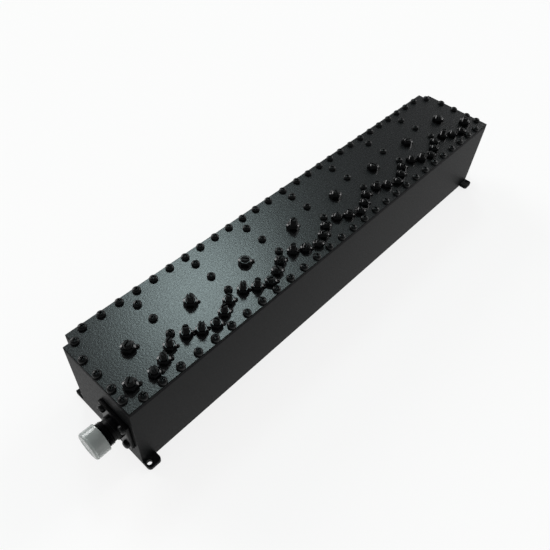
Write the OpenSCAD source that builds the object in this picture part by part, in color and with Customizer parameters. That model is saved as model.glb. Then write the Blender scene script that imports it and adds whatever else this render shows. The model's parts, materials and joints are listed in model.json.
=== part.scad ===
// Eight-cavity coaxial band-pass filter in a milled housing.
// The resting face is z = 0, the length runs along X from the input end (-X) to the output end (+X),
// and the front long side is -Y. All sizes are in millimetres.

/* [Housing] */
// Length between the two end faces
body_len = 375; // [374:0.5:378]
// Width across the long sides
body_w = 65; // [64.5:0.1:66]
// Height up to the cover's seat
body_h = 60; // [58:0.5:66]
// Thickness of the long side walls
side_wall = 6; // [5.6:0.1:6.2]
// Thickness of the end walls
end_wall = 6; // [5.6:0.1:6.4]
// Thickness of the floor under the cavities
floor_t = 6; // [5:0.5:8]
// Thickness of the walls between the cavities
partition_t = 5; // [4:0.5:6]
// Distance from one partition to the next
cavity_pitch = 46; // [45.8:0.05:46.2]
// Offset of the row of cavities from the middle of the length
pattern_shift = -1.8; // [-2.4:0.1:-1.6]
// Corner radius that the milling cutter leaves in a cavity
pocket_r = 4; // [2:0.5:5]
// Height of the sill under each coupling window
window_sill = 22; // [12:1:36]
// Size along X of the notch in each back corner
notch_len = 5.6; // [5.5:0.1:6]
// Size along Y of the notch in each back corner
notch_w = 6.2; // [5.8:0.1:6.4]

/* [Feet] */
// Thickness of the four fixing feet
foot_t = 3; // [2.5:0.5:5]
// Reach of the two front ears beyond the side
ear_reach = 6.4; // [5.5:0.1:7]
// Length of a front ear along the side
ear_len = 9.5; // [8:0.5:16]
// Reach of the two back tabs beyond the side
tab_reach = 2.5; // [2:0.1:5]
// Corner radius of the front ears
ear_r = 2.5; // [1:0.1:2.8]
// Corner radius of the back tabs
tab_r = 1; // [0.5:0.1:2.5]
// Diameter of a fixing hole
foot_hole_d = 3.2; // [3:0.1:3.4]
// Distance of the fixing holes from the end faces
foot_hole_inset = 2.7; // [2.6:0.1:3.2]
// Distance of the front holes from the side face, outwards
front_hole_out = 2.8; // [2.7:0.1:3]
// Distance of the back holes from the side face, inwards
back_hole_in = 1.5; // [1:0.1:2]

/* [Cover] */
// Thickness of the cover plate
cover_t = 2.5; // [2:0.5:4]
// Diameter of a cover screw's pan head
cover_head_d = 5.5; // [5.2:0.1:5.6]
// Height of a cover screw's pan head
cover_head_h = 2.4; // [2:0.1:2.6]
// Thread diameter of a cover screw
cover_screw_d = 3; // [2.5:0.1:3]
// Length of a cover screw under its head
cover_screw_len = 8; // [6:0.5:9]
// Distance of the edge rows from the cover's edges
edge_inset = 3; // [2.8:0.1:3.1]
// Distance between neighbours in the front and back rows
row_pitch = 12.92; // [12.86:0.01:12.94]
// Distance of the front row's first screw from the input end
front_start = 11.8; // [11:0.1:12.5]
// Distance of the back row's middle screw from its neighbours
back_gap = 15.3; // [15:0.1:15.5]

/* [Tuning screws] */
// Thread diameter of the screws over the resonators and ports
tuning_d = 5; // [4.5:0.1:5.2]
// Length of those screws
tuning_len = 26; // [20:0.5:30]
// Size across the flats of their lock nuts
tuning_nut_af = 8; // [7.5:0.1:8.2]
// Height of their lock nuts
tuning_nut_h = 3.6; // [2.7:0.1:4.7]
// Thread diameter of the coupling screws and side trimmers
coupling_d = 4; // [3.5:0.1:4.2]
// Length of those screws
coupling_len = 22; // [16:0.5:26]
// Size across the flats of their lock nuts
coupling_nut_af = 7; // [6.5:0.1:7]
// Height of their lock nuts
coupling_nut_h = 3.2; // [2.2:0.1:3.4]
// Place across the width of the screws over the resonators
tuning_y = -0.5; // [-1:0.1:0.5]
// Place across the width of the side trimmers
trimmer_y = -23.1; // [-23.1:0.1:-22.6]
// Place across the width of the port trimmers
port_trimmer_y = -20.1; // [-20.5:0.1:-19]
// Distance of a port trimmer from its cavity's resonator, along X
port_trimmer_dx = 13.6; // [12.5:0.1:13.8]
// Distance of the inner coupling screws from their partition, along X
inner_dx = 6; // [5.5:0.1:6.4]
// Place across the width of the inner coupling screws
inner_y = -15.7; // [-16:0.1:-15]
// Distance of the outer coupling screws from their partition, along X
outer_dx = 14; // [13.8:0.1:14.4]
// Place across the width of the outer coupling screws
outer_y = -20.2; // [-20.6:0.1:-19.8]

/* [Resonators] */
// Diameter of a resonator post
post_d = 16; // [14:0.5:18]
// Height of a resonator post over the floor
post_h = 46; // [42:0.5:48]
// Diameter of the well in a post's open end
well_d = 9; // [8:0.5:10]
// Depth of that well
well_depth = 30; // [28:0.5:32]
// Thread diameter of the bolt that holds a post
bolt_d = 4; // [3:0.5:4]

/* [Ports] */
// Place of the ports across the width
port_y = -16.3; // [-17:0.1:-15]
// Height of the ports over the resting face
port_z = 31.2; // [30:0.1:33]
// Side of the square connector flange
flange_w = 25.4; // [25:0.1:26]
// Thickness of the connector flange
flange_t = 2.5; // [2:0.1:3]
// Distance between the flange screws
flange_pitch = 18.3; // [18:0.1:18.6]
// Diameter of the connector's coupling thread
barrel_d = 15.5; // [15:0.1:15.6]
// Distance of the connector's front edge from the end face
barrel_end = 19.3; // [18:0.1:19.4]
// Outer diameter of the dust cap
cap_d = 18; // [17.8:0.1:19]
// Distance of the dust cap's open rim from the end face
cap_start = 11.6; // [10:0.1:12]
// Distance of the dust cap's closed end from the end face
cap_end = 20.9; // [20.8:0.1:22]

/* [Hidden] */
$fn = 40;
cavities = 8;
last = cavities - 1;
side_in = body_w / 2 - side_wall;
end_in = body_len / 2 - end_wall;
cover_top = body_h + cover_t;

// Clearances: around a fixed screw, around a screw that is turned, under a screw or a wire's end,
// and past a face that is cut
hole_gap = 0.2;
thread_gap = 0.15;
end_gap = 0.5;
past = 1;

// Places along X of the partitions and of the resonators
function partition_x(i) = pattern_shift + (i - (cavities - 2) / 2) * cavity_pitch;
function cavity_x(i) = pattern_shift + (i - last / 2) * cavity_pitch;
function cavity_low(i) = i == 0 ? -end_in : partition_x(i - 1) + partition_t / 2;
function cavity_high(i) = i == last ? end_in : partition_x(i) - partition_t / 2;

// Coupling windows lie between the end of a partition and a lip at the front wall
window_front = -24.5;
window_back = -12;
window_over = 1.1;

// Solid corners inside the end cavities, behind the notches, that take the corner screws
boss_len = 6.5;
boss_w = 7;
boss_r = 2;

// Places of the cover screws
front_count = 28;
back_count = 13;
partition_y = [20.7, 6.3, -8.9];
end_y = [11.3, -1.5, -14.2, -23.6];
corner_dx = 1.3;
corner_dy = 1.9;
corner_x = body_len / 2 - notch_len - corner_dx;
corner_y = body_w / 2 - notch_w - corner_dy;
row_y = body_w / 2 - edge_inset;
front_xy = [for (i = [0 : front_count - 1]) [-body_len / 2 + front_start + i * row_pitch, -row_y]];
back_xy = concat(
    [[pattern_shift, row_y]],
    [for (s = [-1, 1], i = [0 : back_count - 1]) [pattern_shift + s * (back_gap + i * row_pitch), row_y]]
);
partition_xy = [for (i = [0 : cavities - 2], y = partition_y) [partition_x(i), y]];
end_xy = concat(
    [for (s = [-1, 1], y = end_y) [s * (body_len / 2 - edge_inset), y]],
    [for (s = [-1, 1]) [s * corner_x, corner_y]]
);
cover_xy = concat(front_xy, back_xy, partition_xy, end_xy);

// Places of the tuning screws
tuning_xy = [for (i = [0 : last]) [cavity_x(i), tuning_y]];
trimmer_xy = [for (i = [0 : last]) [cavity_x(i), trimmer_y]];
// The output trimmer stands a little off the mirrored place of the input trimmer
output_trimmer_shift = [-0.7, 1.6];
port_trimmer_xy = [
    [cavity_x(0) - port_trimmer_dx, port_trimmer_y],
    [cavity_x(last) + port_trimmer_dx, port_trimmer_y] + output_trimmer_shift
];
function coupling_group(i) = [
    for (s = [-1, 1], p = [[inner_dx, inner_y], [outer_dx, outer_y]]) [partition_x(i) + s * p[0], p[1]]
];
coupling_xy = [for (i = [0 : cavities - 2], p = coupling_group(i)) p];

// Height above the cover at which each screw is set, as a tuned filter leaves them
tuning_set = [6.8, 7.8, 4.8, 8.5, 5.5, 4.6, 4.4, 5.5];
trimmer_set = [7, 6.5, 4.8, 4.4, 4.4, 4.4, 4.4, 4.8];
port_trimmer_set = [7.5, 6.5];
// One row for each window: inner and outer screw on the input side, then on the output side
coupling_set = [
    [8.5, 8, 8.5, 8.5],
    [7, 8, 8.5, 8.5],
    [5, 5, 8, 6],
    [4.4, 4.4, 5.2, 6],
    [5, 4.4, 6.5, 6],
    [4.6, 4.4, 5.5, 6.5],
    [4.5, 4.4, 7.5, 5]
];

// Turn of the first screw in a row, and from each screw to the next, in degrees
tuning_turn = [20, 53];
trimmer_turn = [70, 41];
coupling_turn = [15, 67];
port_trimmer_turn = [35, 80];
cover_head_turn = 37;
flange_head_turn = 25;
function turned(turn, i) = turn[0] + i * turn[1];

// Turn of a lock nut's corner from the X axis: the least, the step to the next nut, and the spread
nut_turn = [11, 5, 9];
square_turn = [0, 0, 1];

// Screw details
pan_rim = 0.4;
cross_l = 2.9;
cross_w = 0.7;
cross_depth = 1.1;
slot_w = 1;
slot_depth = 1.6;
end_chamfer = 0.5;
tap_depth = cover_screw_len - cover_t + end_gap;
bolt_head_d = 7;
bolt_head_h = 4;
bolt_socket_af = 3;
bolt_in_floor = 4;
flange_screw_d = 3;
flange_head_d = 5.5;
flange_head_h = 2.4;
flange_screw_len = 7.5;

// Connector details, along the port axis outwards from the end face
collar_d = 15.8;
collar_end = 5.5;
groove_d = 14;
groove_end = 7.5;
barrel_chamfer = 0.7;
jack_bore_d = 8.1;
insulator_d = 8;
insulator_end = 9;
contact_d = 3;
contact_end = 14;
contact_back = end_wall + 2;
contact_socket_d = 1.7;
contact_socket = 6;
contact_slit = 0.35;
wire_d = 1.5;
wire_bend = 4;
solder_depth = 2;
cap_wall = 0.95;
cap_floor = 1.2;
cap_round = 1.5;

// Finishes
paint = "#26282b";
blacked = "#1b1c1e";
silvered = "#b9bcc0";
zinc = "#8d9094";
gold = "#c9a24a";
ptfe = "#ecebe6";
cap_grey = "#c9ccce";

PORTS = ["input", "output"];
PORT_PIECES = ["connector", "insulator", "contact", "tap_wire", "flange_screws", "dust_cap"];

// Outlines

module rounded(w, d, r) {
    square([w - 2 * r, d], center = true);
    square([w, d - 2 * r], center = true);
    for (x = [-1, 1], y = [-1, 1])
        translate([x * (w / 2 - r), y * (d / 2 - r)]) circle(r = r);
}

module drilled(places, d) {
    for (p = places) translate(p) circle(d = d);
}

module body_outline() {
    difference() {
        square([body_len, body_w], center = true);
        for (s = [-1, 1])
            translate([s * (body_len + past - notch_len) / 2, (body_w + past - notch_w) / 2])
                square([notch_len + past, notch_w + past], center = true);
    }
}

module feet_outline() {
    ear_d = ear_reach + 2 * ear_r;
    tab_d = tab_reach + notch_w + 2 * tab_r;
    for (s = [-1, 1]) {
        translate([s * (body_len - ear_len) / 2, -body_w / 2 - ear_reach + ear_d / 2])
            rounded(ear_len, ear_d, ear_r);
        translate([s * (body_len - notch_len) / 2, body_w / 2 + tab_reach - tab_d / 2])
            rounded(notch_len, tab_d, tab_r);
    }
}

module foot_holes() {
    for (s = [-1, 1], y = [-body_w / 2 - front_hole_out, body_w / 2 - back_hole_in])
        translate([s * (body_len / 2 - foot_hole_inset), y]) circle(d = foot_hole_d);
}

module cavity_outline(i) {
    low = cavity_low(i);
    high = cavity_high(i);
    difference() {
        translate([(low + high) / 2, 0]) rounded(high - low, 2 * side_in, pocket_r);
        if (i == 0 || i == last)
            translate([(i == 0 ? -1 : 1) * (end_in - boss_len / 2 + boss_r), side_in - boss_w / 2 + boss_r])
                rounded(boss_len + 2 * boss_r, boss_w + 2 * boss_r, boss_r);
    }
}

module windows_outline() {
    for (i = [0 : cavities - 2])
        translate([partition_x(i), (window_front + window_back) / 2])
            square([partition_t + 2 * window_over, window_back - window_front], center = true);
}

// Port frame: +Z points out of the end face, s is -1 at the input and 1 at the output

module at_port(s) {
    translate([s * body_len / 2, port_y, port_z]) rotate([0, s * 90, 0]) children();
}

module flange_corners() {
    for (x = [-1, 1], y = [-1, 1]) translate([x, y] * flange_pitch / 2) children();
}

// Shapes that repeat

module pan_screw(head_d, head_h, d, len) {
    rise = (1 - pan_rim) * head_h;
    dome = (pow(head_d / 2, 2) + pow(rise, 2)) / (2 * rise);
    difference() {
        union() {
            intersection() {
                cylinder(d = head_d, h = head_h);
                translate([0, 0, head_h - dome]) sphere(r = dome);
            }
            translate([0, 0, -len]) cylinder(d = d, h = len);
        }
        for (a = [0, 90])
            rotate(a)
                translate([-cross_l / 2, -cross_w / 2, head_h - cross_depth])
                    cube([cross_l, cross_w, cross_depth + past]);
    }
}

module cover_screws(places) {
    for (i = [0 : len(places) - 1])
        translate([places[i][0], places[i][1], cover_top])
            rotate(i * cover_head_turn % 90)
                pan_screw(cover_head_d, cover_head_h, cover_screw_d, cover_screw_len);
}

module slotted_screw(place, turn, d, above, len) {
    r = d / 2;
    translate([place[0], place[1], cover_top + above - len]) rotate(turn) difference() {
        rotate_extrude()
            polygon([
                [0, 0], [r - end_chamfer, 0], [r, end_chamfer],
                [r, len - end_chamfer], [r - end_chamfer, len], [0, len]
            ]);
        translate([-d, -slot_w / 2, len - slot_depth]) cube([2 * d, slot_w, slot_depth + past]);
    }
}

module lock_nuts(places, d, af, h, turn) {
    corner = af / 2 / cos(30);
    bore = d / 2 + thread_gap;
    slope = (corner - af / 2) * tan(30);
    for (i = [0 : len(places) - 1]) translate([places[i][0], places[i][1], cover_top]) intersection() {
        rotate(turn[0] + i * turn[1] % turn[2]) cylinder(r = corner, h = h, $fn = 6);
        rotate_extrude()
            polygon([
                [bore, 0], [corner + past, 0], [corner + past, h - slope - past * tan(30)],
                [af / 2, h], [bore, h]
            ]);
    }
}

// Sub-parts

module housing() {
    color(paint) difference() {
        union() {
            linear_extrude(body_h) body_outline();
            linear_extrude(foot_t) feet_outline();
        }
        translate([0, 0, -past]) linear_extrude(foot_t + 2 * past) foot_holes();
        translate([0, 0, floor_t]) linear_extrude(body_h) for (i = [0 : last]) cavity_outline(i);
        translate([0, 0, window_sill]) linear_extrude(body_h) windows_outline();
        translate([0, 0, body_h - tap_depth])
            linear_extrude(tap_depth + past) drilled(cover_xy, cover_screw_d + hole_gap);
        translate([0, 0, floor_t - bolt_in_floor - end_gap])
            linear_extrude(floor_t) drilled(tuning_xy, bolt_d + hole_gap);
        for (s = [-1, 1]) at_port(s) {
            translate([0, 0, -end_wall - past])
                cylinder(d = insulator_d + 2 * hole_gap, h = end_wall + 2 * past);
            flange_corners()
                translate([0, 0, flange_t - flange_screw_len - end_gap])
                    cylinder(d = flange_screw_d + hole_gap, h = flange_screw_len);
        }
    }
}

module cover() {
    color(paint) translate([0, 0, body_h]) linear_extrude(cover_t) difference() {
        body_outline();
        drilled(cover_xy, cover_screw_d + 2 * hole_gap);
        drilled(concat(tuning_xy, port_trimmer_xy), tuning_d + 2 * thread_gap);
        drilled(concat(trimmer_xy, coupling_xy), coupling_d + 2 * thread_gap);
    }
}

module cover_screws_front() {
    color(blacked) cover_screws(front_xy);
}

module cover_screws_back() {
    color(blacked) cover_screws(back_xy);
}

module cover_screws_partition() {
    color(blacked) cover_screws(partition_xy);
}

module cover_screws_end() {
    color(blacked) cover_screws(end_xy);
}

module resonator(i) {
    color(silvered) translate([cavity_x(i), tuning_y, floor_t]) difference() {
        cylinder(d = post_d, h = post_h);
        translate([0, 0, post_h - well_depth]) cylinder(d = well_d, h = well_depth + past);
        translate([0, 0, -past]) cylinder(d = bolt_d + 2 * hole_gap, h = post_h);
        if (i == 0 || i == last)
            translate([0, -post_d / 2 - past, port_z - floor_t])
                rotate([-90, 0, 0]) cylinder(d = wire_d + hole_gap, h = solder_depth + past + end_gap);
    }
}

module resonator_bolts() {
    color(zinc) for (p = tuning_xy)
        translate([p[0], p[1], floor_t + post_h - well_depth]) difference() {
            union() {
                cylinder(d = bolt_head_d, h = bolt_head_h);
                translate([0, 0, well_depth - post_h - bolt_in_floor])
                    cylinder(d = bolt_d, h = post_h - well_depth + bolt_in_floor);
            }
            translate([0, 0, bolt_head_h / 2])
                cylinder(r = bolt_socket_af / 2 / cos(30), h = bolt_head_h, $fn = 6);
        }
}

module tuning_screw(i) {
    turn = turned(tuning_turn, i);
    color(blacked) slotted_screw(tuning_xy[i], turn, tuning_d, tuning_set[i], tuning_len);
}

module tuning_nuts() {
    color(blacked) lock_nuts(tuning_xy, tuning_d, tuning_nut_af, tuning_nut_h, nut_turn);
}

module side_trimmer(i) {
    turn = turned(trimmer_turn, i);
    color(blacked) slotted_screw(trimmer_xy[i], turn, coupling_d, trimmer_set[i], coupling_len);
}

module side_trimmer_nuts() {
    color(blacked) lock_nuts(trimmer_xy, coupling_d, coupling_nut_af, coupling_nut_h, square_turn);
}

module coupling_screws(i) {
    group = coupling_group(i);
    color(blacked) for (k = [0 : len(group) - 1]) {
        turn = turned(coupling_turn, len(group) * i + k);
        slotted_screw(group[k], turn, coupling_d, coupling_set[i][k], coupling_len);
    }
}

module coupling_nuts() {
    color(blacked) lock_nuts(coupling_xy, coupling_d, coupling_nut_af, coupling_nut_h, nut_turn);
}

module port_trimmer(i) {
    turn = turned(port_trimmer_turn, i);
    color(blacked) slotted_screw(port_trimmer_xy[i], turn, tuning_d, port_trimmer_set[i], tuning_len);
}

module port_trimmer_nuts() {
    color(blacked) lock_nuts(port_trimmer_xy, tuning_d, tuning_nut_af, tuning_nut_h, nut_turn);
}

module connector(s) {
    color(blacked) at_port(s) difference() {
        union() {
            linear_extrude(flange_t) difference() {
                square(flange_w, center = true);
                flange_corners() circle(d = flange_screw_d + 2 * hole_gap);
            }
            rotate_extrude()
                polygon([
                    [0, flange_t / 2], [collar_d / 2, flange_t / 2], [collar_d / 2, collar_end],
                    [groove_d / 2, collar_end], [groove_d / 2, groove_end], [barrel_d / 2, groove_end],
                    [barrel_d / 2, barrel_end - barrel_chamfer],
                    [barrel_d / 2 - barrel_chamfer, barrel_end], [0, barrel_end]
                ]);
        }
        translate([0, 0, -past]) cylinder(d = jack_bore_d, h = barrel_end + 2 * past);
    }
}

module insulator(s) {
    color(ptfe) at_port(s) translate([0, 0, -end_wall]) difference() {
        cylinder(d = insulator_d, h = end_wall + insulator_end);
        translate([0, 0, -past])
            cylinder(d = contact_d + hole_gap, h = end_wall + insulator_end + 2 * past);
    }
}

module contact(s) {
    color(gold) at_port(s) difference() {
        translate([0, 0, -contact_back]) cylinder(d = contact_d, h = contact_back + contact_end);
        translate([0, 0, contact_end - contact_socket])
            cylinder(d = contact_socket_d, h = contact_socket + past);
        for (a = [0, 90])
            rotate(a)
                translate([-contact_d, -contact_slit / 2, contact_end - contact_socket + past])
                    cube([2 * contact_d, contact_slit, contact_socket]);
        translate([0, 0, -contact_back - past])
            cylinder(d = wire_d + hole_gap, h = solder_depth + past + end_gap);
    }
}

module tap_wire(s) {
    reach = body_len / 2 - abs(cavity_x(s < 0 ? 0 : last));
    run = reach - wire_bend - contact_back + solder_depth;
    side = tuning_y - port_y - post_d / 2 + solder_depth - wire_bend;
    color(gold) at_port(s) {
        translate([0, 0, wire_bend - reach]) cylinder(d = wire_d, h = run);
        translate([0, wire_bend, wire_bend - reach])
            rotate([90, 0, 90])
                rotate(180) rotate_extrude(angle = 90) translate([wire_bend, 0]) circle(d = wire_d);
        translate([0, wire_bend, -reach]) rotate([-90, 0, 0]) cylinder(d = wire_d, h = side);
    }
}

module flange_screws(s) {
    color(blacked) at_port(s) flange_corners()
        translate([0, 0, flange_t])
            rotate(flange_head_turn)
                pan_screw(flange_head_d, flange_head_h, flange_screw_d, flange_screw_len);
}

module dust_cap(s) {
    cap_l = cap_end - cap_start;
    color(cap_grey) at_port(s) translate([0, 0, cap_start]) rotate_extrude() difference() {
        union() {
            square([cap_d / 2, cap_l - cap_round]);
            square([cap_d / 2 - cap_round, cap_l]);
            translate([cap_d / 2 - cap_round, cap_l - cap_round]) circle(r = cap_round);
        }
        translate([0, -past]) square([cap_d / 2 - cap_wall, cap_l - cap_floor + past]);
    }
}

housing();
cover();
cover_screws_front();
cover_screws_back();
cover_screws_partition();
cover_screws_end();
for (i = [0 : last]) {
    resonator(i);
    tuning_screw(i);
    side_trimmer(i);
}
resonator_bolts();
tuning_nuts();
side_trimmer_nuts();
for (i = [0 : cavities - 2]) {
    coupling_screws(i);
}
coupling_nuts();
port_trimmer(0);  // input_trimmer
port_trimmer(1);  // output_trimmer
port_trimmer_nuts();
for (s = [-1, 1]) {
    port = s < 0 ? "input" : "output";
    connector(s);
    insulator(s);
    contact(s);
    tap_wire(s);
    flange_screws(s);
    dust_cap(s);
}
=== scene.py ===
"""Looks of an eight-cavity coaxial filter: a long black box with a screwed-down cover and capped jacks."""
import json
from math import atan2, cos, pi, radians, sin, sqrt, tan

import bmesh
import bpy
from mathutils import Matrix, Vector


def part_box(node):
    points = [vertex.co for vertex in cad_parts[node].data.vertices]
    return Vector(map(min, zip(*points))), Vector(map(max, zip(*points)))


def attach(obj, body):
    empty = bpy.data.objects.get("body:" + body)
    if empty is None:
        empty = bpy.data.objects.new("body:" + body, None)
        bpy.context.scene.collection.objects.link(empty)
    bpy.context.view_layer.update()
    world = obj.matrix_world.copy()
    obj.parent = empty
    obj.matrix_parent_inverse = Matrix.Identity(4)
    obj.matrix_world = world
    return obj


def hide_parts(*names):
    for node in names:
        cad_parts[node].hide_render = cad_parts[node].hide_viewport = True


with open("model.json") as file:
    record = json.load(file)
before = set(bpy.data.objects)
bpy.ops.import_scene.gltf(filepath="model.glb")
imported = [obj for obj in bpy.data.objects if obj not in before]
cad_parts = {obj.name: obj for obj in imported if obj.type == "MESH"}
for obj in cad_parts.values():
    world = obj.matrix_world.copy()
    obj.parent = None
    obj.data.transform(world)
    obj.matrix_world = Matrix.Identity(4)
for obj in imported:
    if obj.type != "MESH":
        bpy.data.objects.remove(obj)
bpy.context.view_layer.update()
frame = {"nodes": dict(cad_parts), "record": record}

# Sizes are in millimetres and angles in degrees, unless a comment says otherwise
MM = 0.001
# Corners nearer to each other than this, in metres, are one corner
MERGE = 1e-6
# How far a point may lie off a level or a radius and still count as on it
NEAR = 0.02
# How far a cutter stands past what it cuts
PAST = 1.0
CAVITIES = 8

record = frame["record"]
body_of_node = {node: body for body, nodes in record["behaviour"]["bodies"].items() for node in nodes}
slot_of_node = {part["node"]: part["material_slot"] for part in record["subparts"]}


# Camera: the photograph's standpoint

EYE = (-246.5, -168.6, 334.5)
LOOK_AT = (-64.3, -20.7, 62.5)
ROLL = 4.88
LENS = 37.3
SENSOR = 36.0
# Nearest and farthest that the camera sees, in metres
CLIP = (0.01, 20.0)


def place_camera():
    data = bpy.data.cameras.new("camera")
    data.lens = LENS
    data.sensor_width = SENSOR
    data.clip_start, data.clip_end = CLIP
    camera = bpy.data.objects.new("camera", data)
    bpy.context.scene.collection.objects.link(camera)
    eye = Vector(EYE) * MM
    aim = (Vector(LOOK_AT) * MM - eye).to_track_quat("-Z", "Y").to_matrix()
    aim = aim @ Matrix.Rotation(radians(ROLL), 3, "Z")
    camera.matrix_world = Matrix.Translation(eye) @ aim.to_4x4()
    bpy.context.scene.camera = camera


# Shader helpers

def linear(hex_colour):
    """Linear RGBA of an sRGB colour written as #rrggbb."""
    parts = [int(hex_colour[i:i + 2], 16) / 255 for i in (1, 3, 5)]
    return [c / 12.92 if c <= 0.04045 else ((c + 0.055) / 1.055) ** 2.4 for c in parts] + [1.0]


def add(tree, kind, settings=None, values=None, links=None):
    """Add one shader node, with its properties, socket values and links."""
    made = tree.nodes.new("ShaderNode" + kind)
    for name, value in (settings or {}).items():
        setattr(made, name, value)
    for name, value in (values or {}).items():
        made.inputs[name].default_value = value
    for name, output in (links or {}).items():
        tree.links.new(output, made.inputs[name])
    return made


def new_material(name):
    material = bpy.data.materials.new(name)
    material.use_nodes = True
    material.node_tree.nodes.clear()
    return material, material.node_tree


def per_mm(size):
    """Texture scale at which one cell of a pattern is that many millimetres across."""
    return 1.0 / (size * MM)


# Stage and light

WHITE = "#ffffff"
# Side of the floor, in metres
FLOOR_SIZE = 6.0
PAPER = "#f2f2f0"
# Share of plain white in the floor as it is seen; the rest is lit paper, which keeps a soft shadow
FLOOR_LIT = 0.8
# Suns: the direction that each shines from, the angle across it and its strength. The cover mirrors
# the key light as a broad highlight, and the turned corners of the nuts mirror the other two as glints.
KEY_FROM = (0.388, 0.476, 0.775)
KEY_ANGLE = 13.0
KEY_STRENGTH = 0.505
KEY_COLOUR = "#e3fbfc"
BACK_FROM = (-0.06, 0.91, 0.41)
BACK_ANGLE = 30.0
BACK_STRENGTH = 1.6
SIDE_FROM = (0.86, -0.06, 0.5)
SIDE_ANGLE = 24.0
SIDE_STRENGTH = 0.9
# Tone of the light from all round, and of the pale sweep and the dim room over it that are seen
AMBIENT = 0.5
SWEEP = 0.9
ROOM = 0.12
# The sweep fades into the room between these sines of the height: at about 12 to 25 degrees
SWEEP_TOP = 0.2
ROOM_FOOT = 0.42


def grey(tone):
    return (tone, tone, tone, 1.0)


def seen_directly(tree):
    """1 for what the camera sees, plainly, mirrored or through plastic, and 0 for what only lights."""
    ray = add(tree, "LightPath")
    mirrored = add(tree, "Math", {"operation": "MAXIMUM"}, links={
        0: ray.outputs["Is Camera Ray"], 1: ray.outputs["Is Glossy Ray"]})
    seen = add(tree, "Math", {"operation": "MAXIMUM"}, links={
        0: mirrored.outputs[0], 1: ray.outputs["Is Transmission Ray"]})
    return seen.outputs[0]


def lay_floor():
    bpy.ops.object.select_all(action="DESELECT")
    bpy.ops.mesh.primitive_plane_add(size=FLOOR_SIZE, location=(0, 0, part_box("housing")[0].z))
    floor = bpy.context.object
    floor.name = "floor"
    material, tree = new_material("pale_floor")
    paper = add(tree, "BsdfDiffuse", values={"Color": linear(PAPER)})
    glow = add(tree, "Emission", values={"Color": linear(WHITE), "Strength": 1.0})
    share = add(tree, "Math", {"operation": "MULTIPLY"}, {1: FLOOR_LIT}, {0: seen_directly(tree)})
    surface = add(tree, "MixShader", links={0: share.outputs[0], 1: paper.outputs[0], 2: glow.outputs[0]})
    add(tree, "OutputMaterial", links={"Surface": surface.outputs[0]})
    floor.data.materials.append(material)


def soft_sun(name, shines_from, angle, strength, colour):
    data = bpy.data.lights.new(name, "SUN")
    data.angle = radians(angle)
    data.energy = strength
    data.color = linear(colour)[:3]
    lamp = bpy.data.objects.new(name, data)
    bpy.context.scene.collection.objects.link(lamp)
    lamp.rotation_mode = "QUATERNION"
    lamp.rotation_quaternion = Vector(shines_from).to_track_quat("Z", "Y")


def light_stage():
    soft_sun("key_light", KEY_FROM, KEY_ANGLE, KEY_STRENGTH, KEY_COLOUR)
    soft_sun("back_light", BACK_FROM, BACK_ANGLE, BACK_STRENGTH, WHITE)
    soft_sun("side_light", SIDE_FROM, SIDE_ANGLE, SIDE_STRENGTH, WHITE)
    world = bpy.data.worlds.new("studio")
    world.use_nodes = True
    bpy.context.scene.world = world
    tree = world.node_tree
    tree.nodes.clear()
    place = add(tree, "TexCoord")
    height = add(tree, "SeparateXYZ", links={0: place.outputs["Generated"]})
    room = add(tree, "ValToRGB", links={"Fac": height.outputs["Z"]})
    sweep_end, room_end = room.color_ramp.elements
    sweep_end.position = SWEEP_TOP
    sweep_end.color = grey(SWEEP)
    room_end.position = ROOM_FOOT
    room_end.color = grey(ROOM)
    backdrop = add(tree, "Background", links={"Color": room.outputs["Color"]})
    ambient = add(tree, "Background", values={"Color": grey(AMBIENT)})
    mix = add(tree, "MixShader", links={
        0: seen_directly(tree), 1: ambient.outputs[0], 2: backdrop.outputs[0]})
    add(tree, "OutputWorld", links={"Surface": mix.outputs[0]})


# Finishes

# Polyester powder and polythene bend light about alike
RESIN_IOR = 1.5

# Pebbles of the powder coat, drawn about three times as wide as real ones so that they show
PEBBLE = 1.2
PEBBLE_HEIGHT = 0.08
PEBBLE_BUMP = 0.65
# Share by which the roughness strays from pebble to pebble
PEBBLE_GLOSS = 0.13
# Stretches of the noise over which the coat goes from dark to light, and from glossy to dull
SHADE_SPAN = (0.3, 0.75)
GLOSS_SPAN = (0.3, 0.7)


def powder_coat(name, dark, light, roughness, specular):
    """Powder coat on milled aluminium: near black, with the fine pebbled skin that baking leaves."""
    material, tree = new_material(name)
    place = add(tree, "TexCoord").outputs["Object"]
    pebble = add(tree, "TexNoise", values={
        "Scale": per_mm(PEBBLE), "Detail": 2.0, "Roughness": 0.6}, links={"Vector": place})
    shade = add(tree, "ValToRGB", links={"Fac": pebble.outputs["Fac"]})
    for stop, position, colour in zip(shade.color_ramp.elements, SHADE_SPAN, (dark, light)):
        stop.position = position
        stop.color = linear(colour)
    gloss = add(tree, "MapRange", values={
        "From Min": GLOSS_SPAN[0], "From Max": GLOSS_SPAN[1],
        "To Min": roughness * (1 - PEBBLE_GLOSS), "To Max": roughness * (1 + PEBBLE_GLOSS)},
        links={"Value": pebble.outputs["Fac"]})
    bump = add(tree, "Bump", values={"Strength": PEBBLE_BUMP, "Distance": PEBBLE_HEIGHT * MM}, links={
        "Height": pebble.outputs["Fac"]})
    skin = add(tree, "BsdfPrincipled", values={"IOR": RESIN_IOR, "Specular IOR Level": specular}, links={
        "Base Color": shade.outputs["Color"],
        "Roughness": gloss.outputs["Result"],
        "Normal": bump.outputs["Normal"],
    })
    add(tree, "OutputMaterial", links={"Surface": skin.outputs[0]})
    return material


# Grain of a worked surface: its height and bump, and the shares of the roughness that it runs between
GRAIN_HEIGHT = 0.02
GRAIN_BUMP = 0.15
GRAIN_GLOSS = (0.75, 1.3)


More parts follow.
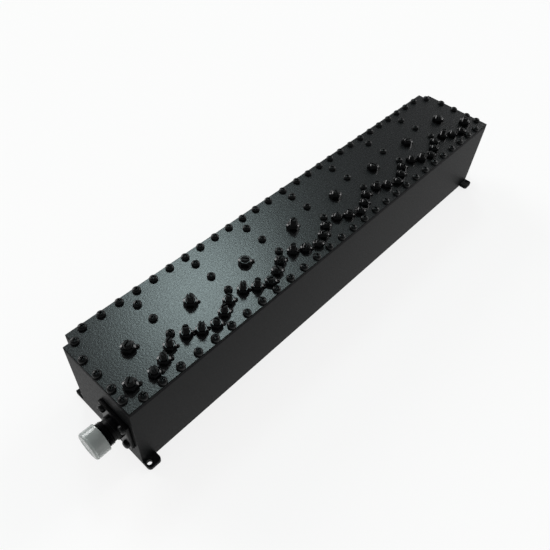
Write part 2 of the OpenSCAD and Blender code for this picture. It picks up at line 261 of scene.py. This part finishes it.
def worked(name, colour, roughness, grain, metallic=0.0, specular=0.5):
    """A plated, blacked or turned surface whose gloss wanders a little over its grain.

    The grain is its width in millimetres, wider than the real one so that it shows.
    """
    material, tree = new_material(name)
    place = add(tree, "TexCoord").outputs["Object"]
    noise = add(tree, "TexNoise", values={"Scale": per_mm(grain), "Detail": 3.0}, links={"Vector": place})
    gloss = add(tree, "MapRange", values={
        "To Min": roughness * GRAIN_GLOSS[0], "To Max": roughness * GRAIN_GLOSS[1]}, links={
        "Value": noise.outputs["Fac"]})
    bump = add(tree, "Bump", values={"Strength": GRAIN_BUMP, "Distance": GRAIN_HEIGHT * MM}, links={
        "Height": noise.outputs["Fac"]})
    skin = add(tree, "BsdfPrincipled", values={
        "Base Color": linear(colour), "Metallic": metallic, "Specular IOR Level": specular}, links={
        "Roughness": gloss.outputs["Result"],
        "Normal": bump.outputs["Normal"],
    })
    add(tree, "OutputMaterial", links={"Surface": skin.outputs[0]})
    return material


# Width of the flow marks in the moulded caps, and the tones and roughness that they run between
FLOW = 6.0
FLOW_TONES = ("#bcc2bf", "#cdd2d0")
FLOW_GLOSS = (0.14, 0.24)
# Share of the light that goes into the plastic and on through it
CLEAR = 0.6


def polythene():
    """Low-density polythene, moulded: milky, waxy and a little see-through."""
    material, tree = new_material("moulded_polythene")
    place = add(tree, "TexCoord").outputs["Object"]
    flow = add(tree, "TexNoise", values={"Scale": per_mm(FLOW), "Detail": 2.0}, links={"Vector": place})
    gloss = add(tree, "MapRange", values={"To Min": FLOW_GLOSS[0], "To Max": FLOW_GLOSS[1]}, links={
        "Value": flow.outputs["Fac"]})
    milk = add(tree, "ValToRGB", links={"Fac": flow.outputs["Fac"]})
    for stop, tone in zip(milk.color_ramp.elements, FLOW_TONES):
        stop.color = linear(tone)
    skin = add(tree, "BsdfPrincipled", values={"IOR": RESIN_IOR, "Transmission Weight": CLEAR}, links={
        "Base Color": milk.outputs["Color"],
        "Roughness": gloss.outputs["Result"],
    })
    add(tree, "OutputMaterial", links={"Surface": skin.outputs[0]})
    return material


finishes = {
    # Powder baked on the flat cover: satin black that spreads a broad, grainy highlight
    "black_paint": powder_coat("black_powder_coat", "#0e0f10", "#1d1f20", roughness=0.265, specular=0.5),
    # Steel blacked in hot salts and oiled: black heads with a soft sheen
    "screw_black": worked("black_oxide_steel", "#07090a", roughness=0.34, grain=0.8, specular=0.2),
    # Brass threaded and then blacked: glossy black, with small glints along the thread
    "tuner_black": worked("blacked_brass", "#050607", roughness=0.16, grain=1.2, specular=0.4),
    # Silver plated on turned posts: pale and warm, half bright
    "silver_plate": worked("silver_plating", "#d9d7d0", roughness=0.3, grain=0.6, metallic=1.0),
    # Zinc plated on steel bolts: cool grey, half bright
    "steel": worked("zinc_plated_steel", "#a9adb0", roughness=0.35, grain=0.6, metallic=1.0),
    # Brass of the jacks, drawn near black and almost without shine: flat black that gives back hardly any
    # light
    "connector_plate": worked("near_black_jack_brass", "#060607", roughness=0.34, grain=1.0, specular=0.08),
    # PTFE turned from rod: chalk white with a waxy sheen
    "insulator": worked("turned_ptfe", "#ecebe6", roughness=0.5, grain=0.8, specular=0.4),
    # Gold plated on the contacts and wires: bright warm yellow
    "contact_metal": worked("gold_plating", "#d2a54c", roughness=0.22, grain=0.6, metallic=1.0),
    "cap_plastic": polythene(),
}
# Painted shade: the same powder on the milled housing, drawn darker and duller than on the cover, so that
# the upright faces stay near black seen at a slant, as if they mirrored a floor in shadow
painted_shade_side_coat = powder_coat("black_powder_coat_sides_painted_shade", "#0a0b0c", "#141516", roughness=0.48, specular=0.055)
# Painted shade: the same powder, drawn darker and duller on the upright faces and bevelled edges of the
# cover, so that they show a dead black line round the plate and no highlight
painted_shade_edge_coat = powder_coat("black_powder_coat_edges_painted_shade", "#08090a", "#111213", roughness=0.5, specular=0.02)
# Ends of the studs, faced off and blacked: dull black that mirrors nothing
faced_brass = worked("blacked_brass_faced", "#050607", roughness=0.5, grain=0.5, specular=0.2)
# Nuts, turned and blacked: smooth black with sharp glints on the corners
turned_brass = worked("blacked_brass_turned", "#050607", roughness=0.12, grain=1.2, specular=0.25)
# Lacquer, brushed on and dried: it looks wet, with a small glint on each dab
sealing_lacquer = worked("sealing_lacquer", "#050505", roughness=0.16, grain=1.5, specular=0.3)


# Modelling helpers

# Edges that fold by less than this are shaded round, on most pieces and on those named
SMOOTH = 35.0
SMOOTH_NUT = 25.0
SMOOTH_JACK = 25.0
SMOOTH_CAP = 40.0
SMOOTH_DAB = 60.0
SMOOTH_MILLED = 1.0
# Steps across a bevelled edge
BEVEL_STEPS = 2
# Turns of thread wound past the ends, to be trimmed off
SPARE_TURNS = 3
# How far a blank stands out past the crests of its thread, so that it trims the ends alone
TRIM = 0.02
# A face is level when the upright part of its normal is longer than this
LEVEL = 0.95


def all_off():
    bpy.ops.object.select_all(action="DESELECT")


def pick(*objs):
    all_off()
    for o in objs:
        o.select_set(True)
    bpy.context.view_layer.objects.active = objs[0]


def put_down(piece):
    """Put a piece's place and turn into its mesh."""
    pick(piece)
    bpy.ops.object.transform_apply(location=True, rotation=True, scale=True)


def turned(profile, sides):
    """Turn a closed solid up the Z axis from (radius, height) points in millimetres."""
    all_off()
    radius, height = profile[0]
    bpy.ops.mesh.primitive_circle_add(
        vertices=sides, radius=radius * MM, fill_type="NGON", location=(0, 0, height * MM))
    piece = bpy.context.object
    put_down(piece)
    bpy.ops.object.mode_set(mode="EDIT")
    bpy.ops.mesh.select_all(action="SELECT")
    for r, z in profile[1:]:
        bpy.ops.mesh.extrude_region_move(TRANSFORM_OT_translate={"value": (0, 0, (z - height) * MM)})
        k = r / radius
        bpy.ops.transform.resize(value=(k, k, 1), center_override=(0, 0, z * MM))
        radius, height = r, z
    bpy.ops.mesh.select_all(action="SELECT")
    bpy.ops.mesh.normals_make_consistent(inside=False)
    bpy.ops.object.mode_set(mode="OBJECT")
    return piece


def block(size, centre):
    """Add a cube of that size, in millimetres, about that centre."""
    all_off()
    bpy.ops.mesh.primitive_cube_add(size=1, location=Vector(centre) * MM)
    piece = bpy.context.object
    piece.scale = Vector(size) * MM
    put_down(piece)
    return piece


def bevel_all(piece, width):
    """Bevel every edge of a piece."""
    pick(piece)
    bpy.ops.object.mode_set(mode="EDIT")
    bpy.ops.mesh.select_all(action="SELECT")
    bpy.ops.mesh.bevel(offset=width * MM, segments=BEVEL_STEPS, affect="EDGES")
    bpy.ops.object.mode_set(mode="OBJECT")


def combine(piece, other, operation):
    """Cut, join or trim a piece by another, which is used up."""
    pick(piece)
    step = piece.modifiers.new("combine", "BOOLEAN")
    step.operation = operation
    step.solver = "EXACT"
    step.object = other
    bpy.ops.object.modifier_apply(modifier=step.name)
    bpy.data.objects.remove(other)


def threaded(blank, d, pitch, low, high, steps):
    """Wind a V thread of that diameter from low to high, and trim it to a turned blank."""
    # The V is half a pitch deep: a square set on its corner, less the corner nearest to the axis
    side = pitch / sqrt(2)
    start = Vector(((d - pitch) / 2, 0, low - pitch)) * MM
    all_off()
    bpy.ops.mesh.primitive_plane_add(size=side * MM, rotation=(pi / 2, pi / 4, 0), location=start)
    rod = bpy.context.object
    put_down(rod)
    bpy.ops.object.mode_set(mode="EDIT")
    mesh = bmesh.from_edit_mesh(rod.data)
    inmost = min(mesh.verts, key=lambda v: v.co.x)
    for v in mesh.verts:
        v.select_set(v == inmost)
    bpy.ops.mesh.delete(type="VERT")
    bpy.ops.object.mode_set(mode="OBJECT")
    wind = rod.modifiers.new("wind", "SCREW")
    wind.axis = "Z"
    wind.screw_offset = pitch * MM
    wind.iterations = int((high - low) / pitch) + SPARE_TURNS
    wind.steps = steps
    wind.render_steps = steps
    bpy.ops.object.modifier_apply(modifier=wind.name)
    bpy.ops.object.mode_set(mode="EDIT")
    bpy.ops.mesh.select_all(action="SELECT")
    bpy.ops.mesh.remove_doubles(threshold=MERGE)
    bpy.ops.mesh.fill_holes(sides=0)
    bpy.ops.mesh.select_all(action="SELECT")
    bpy.ops.mesh.normals_make_consistent(inside=False)
    bpy.ops.object.mode_set(mode="OBJECT")
    combine(rod, blank, "INTERSECT")
    return rod


def copies(model, places):
    """Copy a model to each (place, turn), every copy with its own mesh, and join them to one piece."""
    made = []
    for place, turn in places:
        twin = model.copy()
        twin.data = model.data.copy()
        bpy.context.scene.collection.objects.link(twin)
        twin.matrix_world = Matrix.Translation(place) @ turn
        made.append(twin)
    pick(*made)
    if len(made) > 1:
        bpy.ops.object.join()
    put_down(made[0])
    return made[0]


def dress(piece, name, like, finish=None, smooth=SMOOTH):
    """Name a finished piece, give it its finish, and let it ride with the CAD node that it is like."""
    piece.name = name
    piece.data.name = name
    slot = slot_of_node[like]
    piece.data.materials.clear()
    piece.data.materials.append(finish or finishes[slot])
    pick(piece)
    bpy.ops.object.shade_smooth_by_angle(angle=radians(smooth))
    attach(piece, body_of_node[like])


def seat(piece, name, node, finish=None, smooth=SMOOTH):
    """Dress a finished piece and let it stand for its CAD node."""
    dress(piece, name, node, finish, smooth)
    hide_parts(node)


def coat_faces(piece, finish, chosen):
    """Give a second finish to the faces whose normal passes a test."""
    piece.data.materials.append(finish)
    for face in piece.data.polygons:
        face.material_index = 1 if chosen(face.normal) else 0


def faces_up(normal):
    return normal.z > LEVEL


def is_edge(normal):
    return abs(normal.z) < LEVEL


# Places, read from the frame

def merged_copy(node):
    """A loose copy of a CAD node's mesh with its doubles merged."""
    source = frame["nodes"][node]
    piece = source.copy()
    piece.data = source.data.copy()
    for tag in list(piece.keys()):
        del piece[tag]
    piece.parent = None
    bpy.context.scene.collection.objects.link(piece)
    piece.matrix_world = Matrix.Identity(4)
    pick(piece)
    bpy.ops.object.mode_set(mode="EDIT")
    bpy.ops.mesh.select_all(action="SELECT")
    bpy.ops.mesh.remove_doubles(threshold=MERGE)
    bpy.ops.object.mode_set(mode="OBJECT")
    return piece


def middle(points):
    """Centre of the box round some points."""
    low = Vector([min(p[k] for p in points) for k in range(3)])
    high = Vector([max(p[k] for p in points) for k in range(3)])
    return (low + high) / 2


def top(points):
    return max(p.z for p in points)


def solids(node):
    """Points of each separate solid in a CAD node, ordered along X."""
    mesh = bmesh.new()
    mesh.from_mesh(frame["nodes"][node].data)
    bmesh.ops.remove_doubles(mesh, verts=mesh.verts, dist=MERGE)
    left = set(mesh.verts)
    found = []
    while left:
        to_visit = [left.pop()]
        points = []
        while to_visit:
            here = to_visit.pop()
            points.append(here.co.copy())
            for edge in here.link_edges:
                there = edge.other_vert(here)
                if there in left:
                    left.discard(there)
                    to_visit.append(there)
        found.append(points)
    mesh.free()
    return sorted(found, key=lambda points: (round(middle(points).x, 5), round(middle(points).y, 5)))


def direction(points, centre, fold):
    """Turn in radians of a shape that repeats that many times a turn, from points on its corners."""
    s = sum(sin(fold * atan2(p.y - centre.y, p.x - centre.x)) for p in points)
    c = sum(cos(fold * atan2(p.y - centre.y, p.x - centre.x)) for p in points)
    return atan2(s, c) / fold


def about_z(angle):
    return Matrix.Rotation(angle, 4, "Z")


# Pan-head screws with a cross recess, on the cover and the flanges

SCREW_D = 3.0
SCREW_CHAMFER = 0.3
SCREW_SIDES = 32
COVER_SCREW_LEN = 8.0
FLANGE_SCREW_LEN = 7.5
PAN_D = 5.5
PAN_H = 2.4
PAN_EDGE = 0.1
# Shares of the head: of its height that is upright, and of its width that is flat on top
PAN_SIDE = 0.4
PAN_FLAT = 0.3
PAN_STEPS = 4
CROSS_L = 2.9
CROSS_W = 0.7
CROSS_DEPTH = 1.1
# Turn of the cross from one cover screw to the next, and on every flange screw
COVER_TURN = 37.0
FLANGE_TURN = 25.0


def pan_screw(length):
    """A screw with the seat of its head at z = 0."""
    r = PAN_D / 2
    shank = SCREW_D / 2
    dome = [(r * (PAN_FLAT + (1 - PAN_FLAT) * cos(a)), PAN_H * (PAN_SIDE + (1 - PAN_SIDE) * sin(a)))
            for a in (radians(90 * k / PAN_STEPS) for k in range(PAN_STEPS + 1))]
    screw = turned([
        (shank - SCREW_CHAMFER, -length), (shank, SCREW_CHAMFER - length), (shank, 0),
        (r - PAN_EDGE, 0), (r, PAN_EDGE), *dome
    ], SCREW_SIDES)
    for size in ((CROSS_L, CROSS_W), (CROSS_W, CROSS_L)):
        bar = block((*size, 2 * CROSS_DEPTH), (0, 0, PAN_H))
        combine(screw, bar, "DIFFERENCE")
    return screw


def cover_screws():
    model = pan_screw(COVER_SCREW_LEN)
    for row in ("front", "back", "partition", "end"):
        node = "cover_screws_" + row
        places = []
        for i, points in enumerate(solids(node)):
            centre = middle(points)
            seat_z = top(points) - PAN_H * MM
            # A cross looks the same at every 90 degrees
            places.append((Vector((centre.x, centre.y, seat_z)), about_z(radians(COVER_TURN * i % 90))))
        seat(copies(model, places), "pan_screws_" + row, node)
    bpy.data.objects.remove(model)


# Tuning hardware: slotted threaded studs and their lock nuts

TUNING_D = 5.0
TUNING_PITCH = 0.8
TUNING_LEN = 26.0
COUPLING_D = 4.0
COUPLING_PITCH = 0.7
COUPLING_LEN = 22.0
SLOT_W = 1.0
SLOT_DEPTH = 1.6
STUD_CHAMFER = 0.5
STUD_SIDES = 24
STUD_STEPS = 16


def slotted_stud(d, pitch, length):
    """A stud with its end at z = 0 and its thread below, slotted along X."""
    crest = d / 2 + TRIM
    end = d / 2 - STUD_CHAMFER
    blank = turned([
        (end, -length), (crest, STUD_CHAMFER - length), (crest, -STUD_CHAMFER), (end, 0)
    ], STUD_SIDES)
    stud = threaded(blank, d, pitch, -length, 0, STUD_STEPS)
    slot = block((2 * d, SLOT_W, 2 * SLOT_DEPTH), (0, 0, 0))
    combine(stud, slot, "DIFFERENCE")
    return stud


def stud_place(points):
    """Place of a stud's slotted end, with the turn of its slot."""
    centre = middle(points)
    high = top(points)
    slot_floor = [p for p in points if abs(p.z - (high - SLOT_DEPTH * MM)) < NEAR * MM]
    return Vector((centre.x, centre.y, high)), about_z(direction(slot_floor, centre, 2))


def studs():
    large = slotted_stud(TUNING_D, TUNING_PITCH, TUNING_LEN)
    small = slotted_stud(COUPLING_D, COUPLING_PITCH, COUPLING_LEN)
    sizes = {"tuning_screw_" + str(i): large for i in range(1, CAVITIES + 1)}
    sizes.update({"side_trimmer_" + str(i): small for i in range(1, CAVITIES + 1)})
    sizes.update({"coupling_screws_" + str(i): small for i in range(1, CAVITIES)})
    sizes.update({"input_trimmer": large, "output_trimmer": large})
    for node, model in sizes.items():
        piece = copies(model, [stud_place(points) for points in solids(node)])
        seat(piece, "threaded_" + node, node)
        coat_faces(piece, faced_brass, faces_up)
    bpy.data.objects.remove(large)
    bpy.data.objects.remove(small)


# Thread, width across flats and height of the nuts in each node
TUNING_NUT = (TUNING_D, 8.0, 3.6)
COUPLING_NUT = (COUPLING_D, 7.0, 3.2)
NUT_SIZES = {
    "tuning_nuts": TUNING_NUT, "port_trimmer_nuts": TUNING_NUT,
    "side_trimmer_nuts": COUPLING_NUT, "coupling_nuts": COUPLING_NUT,
}
HEX = 6
NUT_SIDES = 48
# Clearance round the stud, and the lead-in at each end of the hole with its cutter's overrun
NUT_GAP = 0.15
NUT_LEAD = 0.3
NUT_PAST = 0.2
NUT_HOLE_SIDES = 24
# Share of the width across flats that stays flat on each face, and the slope of the turned corners
NUT_FACE = 0.8
NUT_SLOPE = 30.0


def lock_nut(d, af, h):
    """A hexagon nut with turned corners on both faces, standing on z = 0 with a corner along X."""
    half_side = pi / HEX
    corner = af / 2 / cos(half_side)
    face = af / 2 * NUT_FACE
    fall = (corner - face) * tan(radians(NUT_SLOPE))
    nut = turned([(corner, 0), (corner, h)], HEX)
    # The primitive starts with a corner along Y
    nut.matrix_world = about_z(half_side)
    put_down(nut)
    rim = turned([(face, 0), (corner, fall), (corner, h - fall), (face, h)], NUT_SIDES)
    combine(nut, rim, "INTERSECT")
    bore = d / 2 + NUT_GAP
    mouth = bore + NUT_LEAD + NUT_PAST
    hole = turned([
        (mouth, -NUT_PAST), (bore, NUT_LEAD), (bore, h - NUT_LEAD), (mouth, h + NUT_PAST)
    ], NUT_HOLE_SIDES)
    combine(nut, hole, "DIFFERENCE")
    return nut


def nut_place(points, h):
    """Place of a nut's foot, with the turn of its corners."""
    centre = middle(points)
    reach = max((p.xy - centre.xy).length for p in points)
    corners = [p for p in points if (p.xy - centre.xy).length > reach - NEAR * MM]
    foot = Vector((centre.x, centre.y, top(points) - h * MM))
    return foot, about_z(direction(corners, centre, HEX))


def nuts():
    for node, (d, af, h) in NUT_SIZES.items():
        model = lock_nut(d, af, h)
        piece = copies(model, [nut_place(points, h) for points in solids(node)])
        seat(piece, "hexagon_" + node, node, finish=turned_brass, smooth=SMOOTH_NUT)
        bpy.data.objects.remove(model)


# Sealing lacquer: a dab that locks each nut to the cover, brushed on from the same side

# Half sizes of a dab as a whole drop, and how high the middle of the drop lies over the cover
DAB_SIZE = (1.6, 1.25, 1.3)
DAB_RISE = 0.45
DAB_DETAIL = 3
# How far out from the flats its middle lies
DAB_OUT = 0.75
# Side of the nut that the dabs are on, how far they stray from it, and the step in radians of the
# wave that scatters them
DAB_TURN = -24.0
DAB_SPREAD = 9.0
DAB_STEP = 5
DAB_SCALES = (1.0, 0.8, 1.15, 0.9, 1.05)


def lacquer_dab():
    """A drop of lacquer settled on z = 0, longest along X."""
    all_off()
    bpy.ops.mesh.primitive_ico_sphere_add(subdivisions=DAB_DETAIL, radius=MM)
    dab = bpy.context.object
    bpy.ops.object.mode_set(mode="EDIT")
    bpy.ops.mesh.select_all(action="SELECT")
    bpy.ops.transform.resize(value=DAB_SIZE, center_override=(0, 0, 0))
    bpy.ops.transform.translate(value=(0, 0, DAB_RISE * MM))
    bpy.ops.mesh.bisect(plane_co=(0, 0, 0), plane_no=(0, 0, 1), use_fill=True, clear_inner=True)
    bpy.ops.mesh.select_all(action="SELECT")
    bpy.ops.mesh.normals_make_consistent(inside=False)
    bpy.ops.object.mode_set(mode="OBJECT")
    return dab


def lacquer_dabs():
    model = lacquer_dab()
    for node, (d, af, h) in NUT_SIZES.items():
        places = []
        for i, points in enumerate(solids(node)):
            foot = middle(points)
            foot.z = top(points) - h * MM
            out = about_z(radians(DAB_TURN + DAB_SPREAD * sin(DAB_STEP * i)))
            reach = Vector(((af / 2 + DAB_OUT) * MM, 0, 0))
            scale = Matrix.Scale(DAB_SCALES[i % len(DAB_SCALES)], 4)
            places.append((foot + out @ reach, out @ scale))
        piece = copies(model, places)
        dress(piece, "lacquer_on_" + node, node, finish=sealing_lacquer, smooth=SMOOTH_DAB)
    bpy.data.objects.remove(model)


# Ports: flanged jack, flange screws and dust cap, modelled along +Z and laid along X

INCH = 25.4
FLANGE_W = 25.4
FLANGE_T = 2.5
FLANGE_PITCH = 18.3
FLANGE_HOLE_D = 3.4
FLANGE_HOLE_SIDES = 24
FLANGE_BEVEL = 0.35
COLLAR_D = 15.8
COLLAR_END = 5.5
COLLAR_CHAMFER = 0.3
GROOVE_D = 14.0
GROOVE_END = 7.5
BARREL_D = 15.5
BARREL_END = 19.3
# 24 turns to the inch
BARREL_PITCH = INCH / 24
BARREL_CHAMFER = 0.7
BARREL_SIDES = 48
BARREL_STEPS = 40
BORE_D = 8.1
BORE_LEAD = 0.6
BORE_SIDES = 40


def port_frames():
    """For each port: its name, where its axis leaves the end face, and the turn from +Z to outwards."""
    for port, s in (("input", -1), ("output", 1)):
        low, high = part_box(port + "_connector")
        face = Vector((high.x if s < 0 else low.x, (low.y + high.y) / 2, (low.z + high.z) / 2))
        yield port, face, Matrix.Rotation(s * pi / 2, 4, "Y")


def flange_corners():
    return [Vector((x, y, 0)) * FLANGE_PITCH / 2 * MM for x in (-1, 1) for y in (-1, 1)]


def jack():
    """A square flange with its collar, groove and threaded barrel, bored through."""
    flange = block((FLANGE_W, FLANGE_W, FLANGE_T), (0, 0, FLANGE_T / 2))
    bevel_all(flange, FLANGE_BEVEL)
    collar = COLLAR_D / 2
    groove = GROOVE_D / 2
    body = turned([
        (collar, FLANGE_T / 2), (collar, COLLAR_END - COLLAR_CHAMFER),
        (collar - COLLAR_CHAMFER, COLLAR_END), (groove, COLLAR_END),
        (groove, BARREL_END - 2 * BARREL_CHAMFER)
    ], BARREL_SIDES)
    combine(flange, body, "UNION")
    crest = BARREL_D / 2 + TRIM
    end = BARREL_D / 2 - BARREL_CHAMFER
    blank = turned([
        (end, GROOVE_END), (crest, GROOVE_END + BARREL_CHAMFER),
        (crest, BARREL_END - BARREL_CHAMFER), (end, BARREL_END)
    ], BARREL_SIDES)
    barrel = threaded(blank, BARREL_D, BARREL_PITCH, GROOVE_END, BARREL_END, BARREL_STEPS)
    combine(flange, barrel, "UNION")
    r = BORE_D / 2
    bore = turned([
        (r, -PAST), (r, BARREL_END - BORE_LEAD), (r + 2 * BORE_LEAD, BARREL_END + BORE_LEAD)
    ], BORE_SIDES)
    combine(flange, bore, "DIFFERENCE")
    r = FLANGE_HOLE_D / 2
    hole = turned([(r, -PAST), (r, FLANGE_T + PAST)], FLANGE_HOLE_SIDES)
    holes = copies(hole, [(corner, Matrix.Identity(4)) for corner in flange_corners()])
    bpy.data.objects.remove(hole)
    combine(flange, holes, "DIFFERENCE")
    return flange


CAP_D = 18.0
CAP_START = 11.6
CAP_END = 20.9
CAP_WALL = 0.95
CAP_FLOOR = 1.2
CAP_SIDES = 64
# Radius of the round at the closed end, and the step in degrees along it
CAP_ROUND = 1.5
CAP_STEP = 15
# Easing of the inner corner and of the mouth, and how much the mouth widens
CAP_EASE = 0.4
CAP_MOUTH = 0.3
# How far the wall leans in by the closed end
CAP_DRAFT = 0.06
# Bead at the rim: its height, its eased edges and how far it stands out from the wall
BEAD_H = 1.0
BEAD_EDGE = 0.25
BEAD_STEP = 0.18
# Sunk middle of the closed end: its depth, and its rim, its foot and the face at its centre as shares
# of the cap's radius
SUNK_DEPTH = 0.25
SUNK_RIM = 0.62
SUNK_FOOT = 0.58
SUNK_CENTRE = 0.1


def dust_cap():
    """A push-on cap: open rim with a small bead, drafted wall, rounded closed end with a sunk middle."""
    r = CAP_D / 2
    inner = r - CAP_WALL
    floor = CAP_END - CAP_FLOOR
    bead_end = CAP_START + BEAD_H
    sunk = CAP_END - SUNK_DEPTH
    turn = [(r - CAP_ROUND + CAP_ROUND * sin(a), CAP_END - CAP_ROUND + CAP_ROUND * cos(a))
            for a in (radians(d) for d in range(90 - CAP_STEP, -1, -CAP_STEP))]
    return turned([
        (inner - CAP_EASE, floor), (inner, floor - CAP_EASE), (inner, CAP_START + CAP_EASE),
        (inner + CAP_MOUTH, CAP_START), (r - BEAD_EDGE, CAP_START), (r, CAP_START + BEAD_EDGE),
        (r, bead_end), (r - BEAD_STEP, bead_end + BEAD_EDGE), (r - CAP_DRAFT, CAP_END - CAP_ROUND), *turn,
        (r * SUNK_RIM, CAP_END), (r * SUNK_FOOT, sunk), (r * SUNK_CENTRE, sunk)
    ], CAP_SIDES)


def ports():
    jack_model = jack()
    screw_model = pan_screw(FLANGE_SCREW_LEN)
    cap_model = dust_cap()
    for port, face, outwards in port_frames():
        piece = copies(jack_model, [(face, outwards)])
        seat(piece, "threaded_jack_" + port, port + "_connector", smooth=SMOOTH_JACK)
        places = []
        for corner in flange_corners():
            at = face + outwards @ (corner + Vector((0, 0, FLANGE_T * MM)))
            places.append((at, outwards @ about_z(radians(FLANGE_TURN))))
        seat(copies(screw_model, places), "pan_screws_" + port, port + "_flange_screws")
        piece = copies(cap_model, [(face, outwards)])
        seat(piece, "moulded_cap_" + port, port + "_dust_cap", smooth=SMOOTH_CAP)
    for model in (jack_model, screw_model, cap_model):
        bpy.data.objects.remove(model)


# Housing and cover: the milled forms with broken outer edges

EDGE_BREAK = 0.3
# Only edges longer than this, that fold by more than this angle, are broken
LONG_EDGE = 2.0
SHARP = 60.0
# How far inside the outline of the cover an edge may lie and still be on the outside of the housing
ON_WALL = 0.1


def break_edges(piece, chosen, width):
    """Bevel the convex edges of a merged copy that a test picks by their middle and length."""
    pick(piece)
    bpy.ops.object.mode_set(mode="EDIT")
    bpy.ops.mesh.select_mode(type="EDGE")
    bpy.ops.mesh.select_all(action="DESELECT")
    mesh = bmesh.from_edit_mesh(piece.data)
    for e in mesh.edges:
        sharp = len(e.link_faces) == 2 and e.calc_face_angle() > radians(SHARP) and e.is_convex
        e.select_set(sharp and chosen((e.verts[0].co + e.verts[1].co) / 2 / MM, e.calc_length() / MM))
    bpy.ops.mesh.bevel(offset=width * MM, segments=BEVEL_STEPS, affect="EDGES", clamp_overlap=False)
    bpy.ops.mesh.select_mode(type="VERT")
    bpy.ops.object.mode_set(mode="OBJECT")


def cover_plate():
    plate = merged_copy("cover")
    break_edges(plate, lambda at, length: length > LONG_EDGE, EDGE_BREAK)
    seat(plate, "cover_plate", "cover", smooth=SMOOTH_MILLED)
    # The cover's upright faces and bevels take the darker, duller copy of the powder: painted shade
    coat_faces(plate, painted_shade_edge_coat, is_edge)


def milled_housing():
    box = merged_copy("housing")
    low, high = (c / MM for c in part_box("cover"))

    def outside(at, length):
        along = at.y < low.y + ON_WALL or at.y > high.y - ON_WALL
        across = at.x < low.x + ON_WALL or at.x > high.x - ON_WALL
        return (along or across) and length > LONG_EDGE

    break_edges(box, outside, EDGE_BREAK)
    # The whole housing takes the darker, duller copy of the powder: painted shade on its sides
    seat(box, "milled_housing", "housing", finish=painted_shade_side_coat, smooth=SMOOTH_MILLED)


def coat_solids():
    """Give the CAD nodes that stay in sight the finish of their slot."""
    for node, solid in frame["nodes"].items():
        for entry in solid.material_slots:
            entry.material = finishes[slot_of_node[node]]


coat_solids()
cover_screws()
studs()
nuts()
lacquer_dabs()
ports()
cover_plate()
milled_housing()

bpy.context.scene.view_settings.view_transform = "Standard"
place_camera()
lay_floor()
light_stage()
